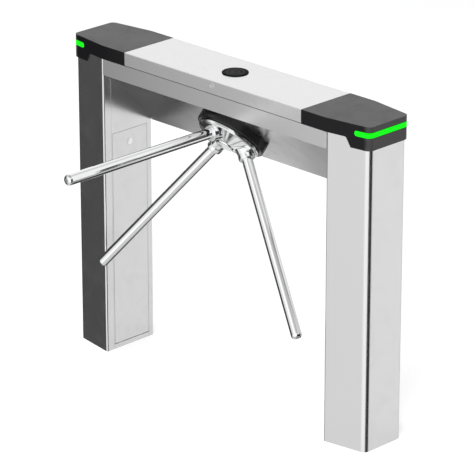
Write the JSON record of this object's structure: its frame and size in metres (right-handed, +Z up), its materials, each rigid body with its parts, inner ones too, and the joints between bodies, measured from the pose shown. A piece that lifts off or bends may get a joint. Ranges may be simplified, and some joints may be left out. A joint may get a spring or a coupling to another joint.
{
  "type": "tripod turnstile",
  "caption": "Bridge-type tripod turnstile: sloped beam on hollow legs, tilted hub with radial barrier arms, geared drive, pawl lock, lit end covers.",
  "frame": {"origin": "on the floor, midway between the legs and between the anchor holes", "axes": "+X along the beam, -Y to the side where the arms stand, +Z up"},
  "size_m": [1.2008, 0.7651, 0.9825],
  "materials": {
    "brushed": "brushed stainless steel, fine vertical and lengthwise grain",
    "bright_sheet": "light satin stainless steel",
    "chrome": "polished chrome",
    "black_cover": "dark satin moulded plastic",
    "black_gloss": "black, glossy",
    "black_rubber": "black rubber",
    "green_light": "green light diffuser, lit",
    "zinc": "zinc plated steel",
    "cast_alloy": "cast aluminium",
    "motor_black": "black painted metal",
    "copper_coil": "copper wire on a steel frame",
    "board": "green circuit board",
    "spring_steel": "dark spring steel"
  },
  "bodies": {
    "frame": {"leg_left": "brushed", "leg_right": "brushed", "base_plates": "zinc", "beam_shell": "brushed", "beam_bolts": "zinc", "cable_grommets": "black_rubber", "cap_left": "black_cover", "cap_right": "black_cover", "light_bar_left": "green_light", "light_bar_right": "green_light", "led_boards": "board", "reader_boards": "board", "lid_gasket": "black_rubber", "lid_keeper": "zinc", "hinge_frame_leaves": "zinc", "hinge_pins": "zinc", "hub_flange": "black_gloss", "mech_plate": "zinc", "mech_bolts": "zinc", "bearing_housing": "cast_alloy", "shaft_bearings": "bright_sheet", "motor": "motor_black", "encoder_sensor": "motor_black", "lock_plate": "zinc", "standoffs": "zinc", "solenoids": "copper_coil", "pawl_springs": "spring_steel", "control_board": "board", "power_supply": "cast_alloy"},
    "tripod": {"hub_body": "chrome", "hub_cap": "chrome", "hub_bolt": "zinc", "arm_barrier": "chrome", "arm_left": "chrome", "arm_right": "chrome", "arm_end_caps": "chrome", "arm_set_screws": "motor_black", "main_shaft": "zinc", "shaft_keys": "zinc", "main_gear": "zinc", "lock_disc": "zinc", "encoder_disc": "motor_black"},
    "pinion": {"motor_pinion": "zinc"},
    "pawl_a": {"pawl_a": "zinc"},
    "pawl_b": {"pawl_b": "zinc"},
    "plunger_a": {"plunger_a": "zinc"},
    "plunger_b": {"plunger_b": "zinc"},
    "lid": {"lid": "bright_sheet", "lid_lock": "zinc", "hinge_lid_leaves": "zinc", "top_lens": "black_gloss", "lens_board": "board"},
    "lid_hook": {"lid_cam": "zinc"},
    "door_left": {"door_left": "bright_sheet", "door_lock_left": "zinc"},
    "door_right": {"door_right": "bright_sheet", "door_lock_right": "zinc"},
    "door_cam_left": {"door_cam_left": "zinc"},
    "door_cam_right": {"door_cam_right": "zinc"}
  },
  "joints": [
    {"name": "tripod_turn", "type": "hinge", "parent": "frame", "child": "tripod", "pos_m": [0, -0.00626, 0.80626], "axis": [0, -0.7071, -0.7071], "continuous": true},
    {"name": "motor_turn", "type": "hinge", "parent": "frame", "child": "pinion", "pos_m": [0.08, -0.00626, 0.80626], "axis": [0, -0.7071, -0.7071], "continuous": true},
    {"name": "pawl_a_swing", "type": "hinge", "parent": "frame", "child": "pawl_a", "pos_m": [-0.01311, 0.00343, 0.90829], "axis": [0, -0.7071, -0.7071], "range_deg": [0, 12], "stiffness_Nm_per_rad": 0.1, "springref_deg": -17.19},
    {"name": "pawl_b_swing", "type": "hinge", "parent": "frame", "child": "pawl_b", "pos_m": [0.01311, 0.00343, 0.90829], "axis": [0, 0.7071, 0.7071], "range_deg": [0, 12], "stiffness_Nm_per_rad": 0.1, "springref_deg": -17.19},
    {"name": "plunger_a_slide", "type": "slide", "parent": "frame", "child": "plunger_a", "axis": [-1, 0, 0], "range_m": [0, 0.00523]},
    {"name": "plunger_b_slide", "type": "slide", "parent": "frame", "child": "plunger_b", "axis": [1, 0, 0], "range_m": [0, 0.00523]},
    {"name": "lid_open", "type": "hinge", "parent": "frame", "child": "lid", "pos_m": [0, 0.1045, 0.938], "axis": [-1, 0, 0], "range_deg": [0, 90]},
    {"name": "lid_hook_turn", "type": "hinge", "parent": "lid", "child": "lid_hook", "pos_m": [0.004, -0.1, 0.964], "axis": [0, -1, 0], "range_deg": [0, 90]},
    {"name": "door_left_tilt", "type": "hinge", "parent": "frame", "child": "door_left", "pos_m": [-0.4585, 0.006, 0.0112], "axis": [0, 1, 0], "range_deg": [0, 20]},
    {"name": "door_right_tilt", "type": "hinge", "parent": "frame", "child": "door_right", "pos_m": [0.4585, 0.006, 0.0112], "axis": [0, -1, 0], "range_deg": [0, 20]},
    {"name": "door_cam_left_turn", "type": "hinge", "parent": "door_left", "child": "door_cam_left", "pos_m": [-0.454, 0.006, 0.655], "axis": [1, 0, 0], "range_deg": [0, 90]},
    {"name": "door_cam_right_turn", "type": "hinge", "parent": "door_right", "child": "door_cam_right", "pos_m": [0.454, 0.006, 0.655], "axis": [1, 0, 0], "range_deg": [0, 90]}
  ],
  "couplings": [
    {"joint": "motor_turn", "follows": "tripod_turn", "ratio": -3},
    {"joint": "plunger_a_slide", "follows": "pawl_a_swing", "m_per_rad": 0.024954},
    {"joint": "plunger_b_slide", "follows": "pawl_b_swing", "m_per_rad": 0.024954}
  ]
}
